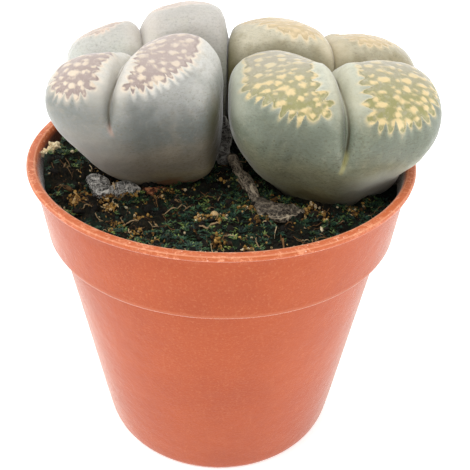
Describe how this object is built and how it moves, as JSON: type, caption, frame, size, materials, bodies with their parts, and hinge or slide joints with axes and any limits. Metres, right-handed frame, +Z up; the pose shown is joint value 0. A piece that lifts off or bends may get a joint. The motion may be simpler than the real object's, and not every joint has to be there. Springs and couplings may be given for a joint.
{
  "type": "potted lithops",
  "caption": "Living-stone succulents, each body split by a fissure into two rounded lobes with patterned flat tops, growing in peat soil in a small round tapered plastic pot.",
  "frame": {"origin": "centre of the pot's flat base, on the surface that it stands on", "axes": "+Z up along the pot's axis, +X to the right of the front view, -Y towards the front, where the wide fissured faces of the front heads look"},
  "size_m": [0.0573, 0.055, 0.0644],
  "materials": {
    "lithops_front_left_skin": "waxy matte grey-green skin with cream islands in darker windows",
    "lithops_front_right_skin": "waxy matte olive green skin with yellow-cream islands in darker windows",
    "lithops_back_skin": "waxy matte beige-grey skin with a peach toothed pattern along the top",
    "dry_sheath": "dry papery grey-brown",
    "husk": "dry red-brown with dark specks",
    "root": "dry fibrous",
    "peat_soil": "rough dark crumbly peat",
    "terracotta_plastic": "satin terracotta-coloured plastic"
  },
  "bodies": {
    "root": {"left_front_head": "lithops_front_left_skin", "left_back_head": "lithops_back_skin", "right_front_head": "lithops_front_right_skin", "right_back_head": "lithops_back_skin", "left_front_sheath": "dry_sheath", "left_front_husk": "husk", "middle_sheath": "dry_sheath", "right_front_sheath": "dry_sheath", "left_back_sheath": "dry_sheath", "right_back_sheath": "dry_sheath", "left_root_crown": "root", "right_root_crown": "root", "soil": "peat_soil", "pot": "terracotta_plastic"}
  },
  "joints": []
}
